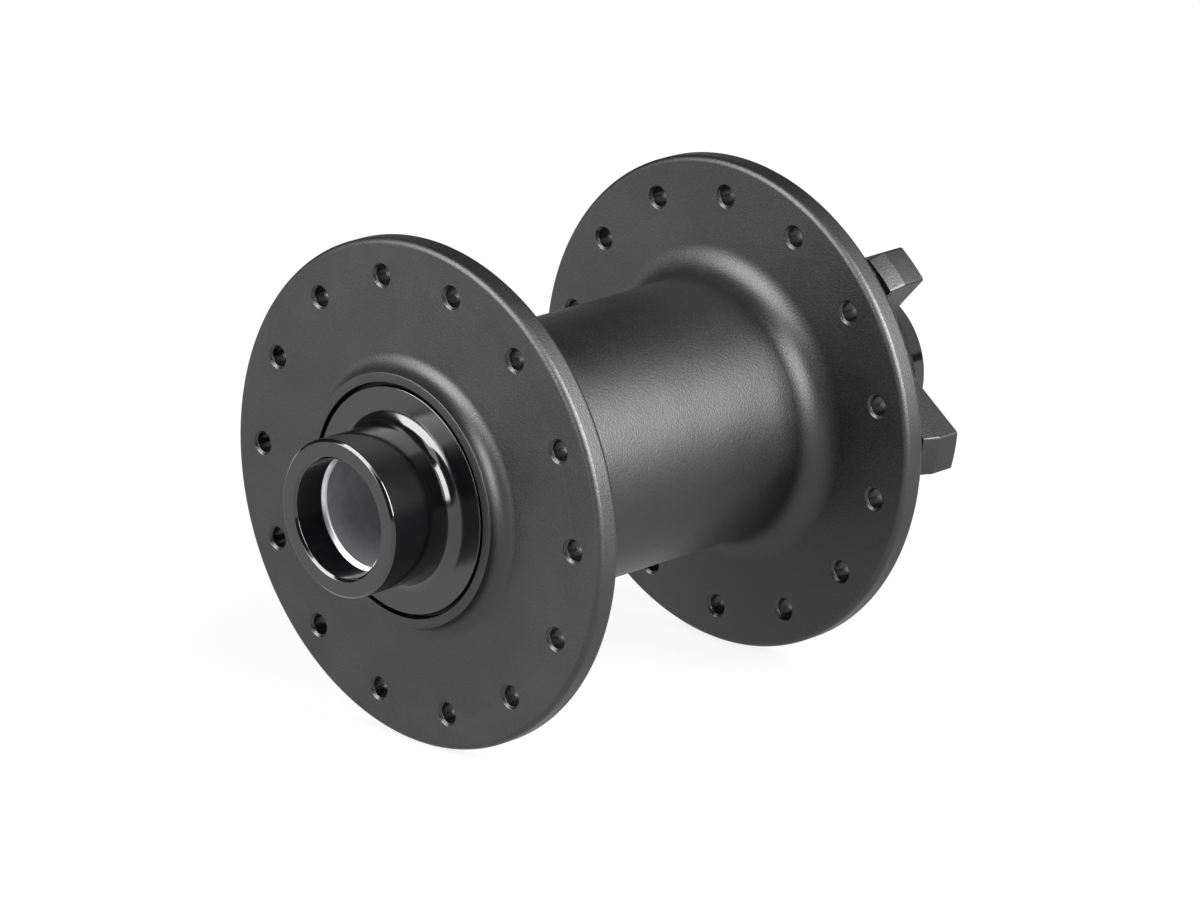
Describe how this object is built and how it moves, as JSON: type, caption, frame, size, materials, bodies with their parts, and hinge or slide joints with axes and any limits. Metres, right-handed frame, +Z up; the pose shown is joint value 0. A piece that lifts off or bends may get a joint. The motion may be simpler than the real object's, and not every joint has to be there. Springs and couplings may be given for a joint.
{
  "type": "bicycle front hub",
  "caption": "Front wheel hub with drilled spoke flanges, rotor tabs, pull-off end caps and an axle tube on cartridge bearings.",
  "frame": {"origin": "middle of the hub's axis, halfway between the two end faces", "axes": "+Y along the axle to the left, rotor side; +X forward; +Z up"},
  "size_m": [0.0678, 0.1, 0.0678],
  "materials": {
    "shell_black": "bead-blasted black anodised",
    "cap_gloss_black": "turned, glossy black anodised",
    "axle_bare": "turned, bare",
    "race_steel": "ground",
    "ball_steel": "polished",
    "cage_polymer": "moulded",
    "seal_rubber": "moulded, matt",
    "o_ring_rubber": "greased"
  },
  "bodies": {
    "axle_set": {"axle_tube": "axle_bare", "right_inner_race": "race_steel", "left_inner_race": "race_steel"},
    "hub": {"hub_shell": "shell_black", "right_outer_race": "race_steel", "right_dust_seal": "seal_rubber", "right_outboard_seal": "seal_rubber", "right_inboard_seal": "seal_rubber", "left_outer_race": "race_steel", "left_dust_seal": "seal_rubber", "left_outboard_seal": "seal_rubber", "left_inboard_seal": "seal_rubber"},
    "right_ball_train": {"right_balls": "ball_steel", "right_ball_cage": "cage_polymer"},
    "left_ball_train": {"left_balls": "ball_steel", "left_ball_cage": "cage_polymer"},
    "right_cap": {"right_end_cap": "cap_gloss_black", "right_cap_o_ring": "o_ring_rubber"},
    "left_cap": {"left_end_cap": "cap_gloss_black", "left_cap_o_ring": "o_ring_rubber"}
  },
  "joints": [
    {"name": "hub_spin", "type": "hinge", "parent": "axle_set", "child": "hub", "pos_m": [0, 0, 0], "axis": [0, 1, 0], "continuous": true},
    {"name": "right_cage_spin", "type": "hinge", "parent": "axle_set", "child": "right_ball_train", "pos_m": [0, -0.0335, 0], "axis": [0, 1, 0], "continuous": true},
    {"name": "left_cage_spin", "type": "hinge", "parent": "axle_set", "child": "left_ball_train", "pos_m": [0, 0.0335, 0], "axis": [0, 1, 0], "continuous": true},
    {"name": "right_cap_pull", "type": "slide", "parent": "axle_set", "child": "right_cap", "axis": [0, -1, 0], "range_m": [0, 0.008]},
    {"name": "left_cap_pull", "type": "slide", "parent": "axle_set", "child": "left_cap", "axis": [0, 1, 0], "range_m": [0, 0.008]}
  ],
  "couplings": [
    {"joint": "right_cage_spin", "follows": "hub_spin", "ratio": 0.57778},
    {"joint": "left_cage_spin", "follows": "hub_spin", "ratio": 0.57778}
  ]
}
